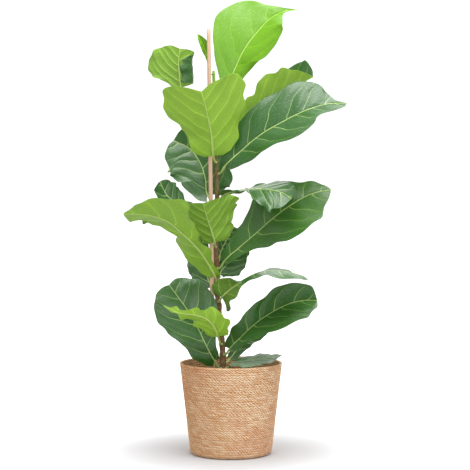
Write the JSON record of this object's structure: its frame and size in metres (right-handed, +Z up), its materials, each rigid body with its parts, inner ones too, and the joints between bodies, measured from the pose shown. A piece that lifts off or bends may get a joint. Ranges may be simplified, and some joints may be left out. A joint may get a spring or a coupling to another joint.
{
  "type": "potted live plant",
  "caption": "Fiddle leaf fig with one straight stem on a cane, broad violin-shaped leaves and a tapered basket of coiled cord round its nursery pot.",
  "frame": {"origin": "centre of the basket's flat base, on the surface it stands on", "axes": "+Z up along the basket's axis, -Y towards the front of the plant, +X to the right seen from the front"},
  "size_m": [0.4976, 0.3134, 1.0478],
  "materials": {
    "basket_cord": "rough natural cord",
    "pot_plastic": "matte black plastic",
    "growing_mix": "crumbly moist bark and peat",
    "stem_bark": "matte bark",
    "cane_wood": "smooth dry cane",
    "tie_plastic": "matte green plastic",
    "leaf_mature": "waxy, glossy on the upper side and dull below",
    "leaf_young": "soft satin"
  },
  "bodies": {
    "root": {"basket": "basket_cord", "nursery_pot": "pot_plastic", "growing_mix": "growing_mix", "stem": "stem_bark", "support_cane": "cane_wood", "plant_tie_1": "tie_plastic", "plant_tie_2": "tie_plastic", "leaf_01": "leaf_young", "leaf_02": "leaf_mature", "leaf_03": "leaf_mature", "leaf_04": "leaf_mature", "leaf_05": "leaf_mature", "leaf_06": "leaf_mature", "leaf_07": "leaf_mature", "leaf_08": "leaf_mature", "leaf_09": "leaf_mature", "leaf_10": "leaf_mature", "leaf_11": "leaf_mature", "leaf_12": "leaf_mature", "leaf_13": "leaf_mature", "leaf_14": "leaf_mature", "leaf_15": "leaf_mature", "leaf_16": "leaf_mature", "leaf_17": "leaf_mature", "leaf_18": "leaf_mature", "leaf_19": "leaf_mature", "leaf_20": "leaf_mature", "terminal_bud": "leaf_young"}
  },
  "joints": []
}
